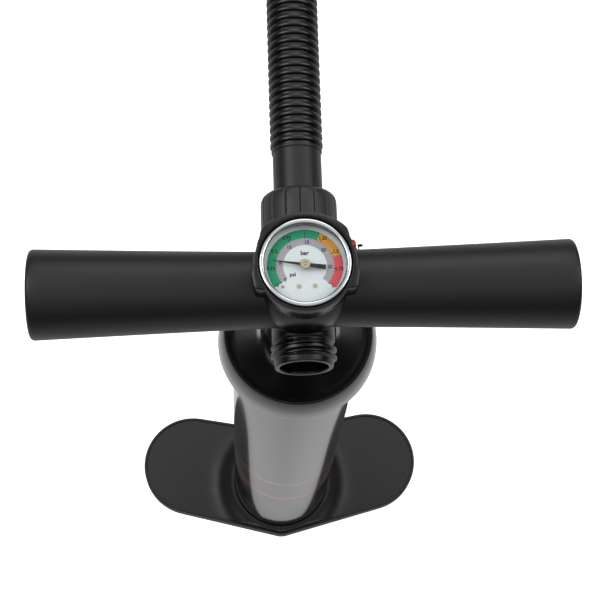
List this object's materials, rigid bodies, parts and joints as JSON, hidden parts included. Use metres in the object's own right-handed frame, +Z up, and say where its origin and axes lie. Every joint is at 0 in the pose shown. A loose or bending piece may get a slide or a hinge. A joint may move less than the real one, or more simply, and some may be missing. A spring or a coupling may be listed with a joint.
{
  "type": "double action hand pump",
  "caption": "Upright hand air pump with footplate, barrel, T-handle with round pressure gauge, threaded intake port, and a corrugated hose with union nut and valve connector.",
  "frame": {"origin": "on the barrel axis at the underside of the footplate", "axes": "+Z up along the barrel, X along the T-handle, +Y towards the hose side"},
  "size_m": [0.3016, 0.5814, 0.597],
  "materials": {
    "black_plastic": "satin",
    "grip_plastic": "satin",
    "gloss_barrel": "gloss",
    "cap_plastic": "gloss",
    "rubber": "matte",
    "seal_rubber": "satin",
    "white_acetal": "satin",
    "aluminium": "satin",
    "steel": "satin",
    "brass": "satin",
    "chrome": "mirror",
    "clear_lens": "clear",
    "dial_white": "matte",
    "needle_black": "satin",
    "red_plastic": "gloss",
    "hose_vinyl": "satin"
  },
  "bodies": {
    "barrel": {"footplate": "black_plastic", "foot_pads": "rubber", "footplate_screws": "steel", "bottom_plug": "black_plastic", "bottom_plug_o_ring": "seal_rubber", "barrel_tube": "gloss_barrel", "top_cap": "cap_plastic", "cap_gasket": "seal_rubber", "top_bumper": "seal_rubber", "rod_bushing": "white_acetal", "rod_seal": "seal_rubber", "seal_retainer": "steel", "handle_bumper": "rubber"},
    "seal_ring": {"piston_seal_ring": "seal_rubber"},
    "handle": {"piston_lower_half": "white_acetal", "piston_upper_half": "white_acetal", "piston_screws": "steel", "valve_retainers": "white_acetal", "outer_rod": "aluminium", "inner_air_tube": "aluminium", "handle_housing": "black_plastic", "left_grip": "grip_plastic", "right_grip": "grip_plastic", "hose_gasket": "seal_rubber", "hose_cuff": "rubber", "plug_tether": "rubber", "gauge_gasket": "seal_rubber", "gauge_stem": "brass", "gauge_case": "steel", "bourdon_tube": "brass", "movement_frame": "brass", "gauge_dial": "dial_white", "dial_screws": "brass", "gauge_lens": "clear_lens", "gauge_bezel": "chrome", "hose_tube": "hose_vinyl", "hose_end_cuff": "rubber"},
    "needle": {"gauge_needle": "needle_black", "needle_hub": "brass"},
    "sector": {"sector_gear": "brass"},
    "union_nut": {"hose_nut": "black_plastic"},
    "plug": {"air_plug": "red_plastic"},
    "connector": {"valve_connector": "black_plastic", "connector_gasket": "seal_rubber"},
    "lower_outlet_disc": {"outlet_disc_lower": "seal_rubber"},
    "upper_outlet_disc": {"outlet_disc_upper": "seal_rubber"},
    "lower_intake_disc": {"intake_disc_lower": "seal_rubber"},
    "upper_intake_disc": {"intake_disc_upper": "seal_rubber"}
  },
  "joints": [
    {"name": "pump_stroke", "type": "slide", "parent": "barrel", "child": "seal_ring", "axis": [0, 0, 1], "range_m": [0, 0.41]},
    {"name": "handle_swivel", "type": "hinge", "parent": "seal_ring", "child": "handle", "pos_m": [0, 0, 0.044], "axis": [0, 0, 1], "continuous": true},
    {"name": "needle_turn", "type": "hinge", "parent": "handle", "child": "needle", "pos_m": [0, 0.0048, 0.592], "axis": [0, 0, 1], "range_deg": [-209.8, 44.5]},
    {"name": "sector_turn", "type": "hinge", "parent": "handle", "child": "sector", "pos_m": [0, -0.0053, 0.577], "axis": [0, 0, 1], "range_deg": [-5, 23.6]},
    {"name": "union_nut_turn", "type": "hinge", "parent": "handle", "child": "union_nut", "pos_m": [0, 0.05, 0.5396], "axis": [0, 1, 0], "continuous": true},
    {"name": "plug_pull", "type": "slide", "parent": "handle", "child": "plug", "axis": [0, 1, 0], "range_m": [0, 0.012]},
    {"name": "connector_turn", "type": "hinge", "parent": "handle", "child": "connector", "pos_m": [0.027, 0.2, 0.016], "axis": [0, 1, 0], "continuous": true},
    {"name": "lower_outlet_lift", "type": "slide", "parent": "handle", "child": "lower_outlet_disc", "axis": [0, 0, 1], "range_m": [0, 0.002]},
    {"name": "upper_outlet_drop", "type": "slide", "parent": "handle", "child": "upper_outlet_disc", "axis": [0, 0, -1], "range_m": [0, 0.002], "stiffness_N_per_m": 100, "springref_m": -0.0005},
    {"name": "lower_intake_drop", "type": "slide", "parent": "handle", "child": "lower_intake_disc", "axis": [0, 0, -1], "range_m": [0, 0.002], "stiffness_N_per_m": 100, "springref_m": -0.0005},
    {"name": "upper_intake_lift", "type": "slide", "parent": "handle", "child": "upper_intake_disc", "axis": [0, 0, 1], "range_m": [0, 0.002]}
  ],
  "couplings": [
    {"joint": "needle_turn", "follows": "sector_turn", "ratio": -8.8889}
  ]
}
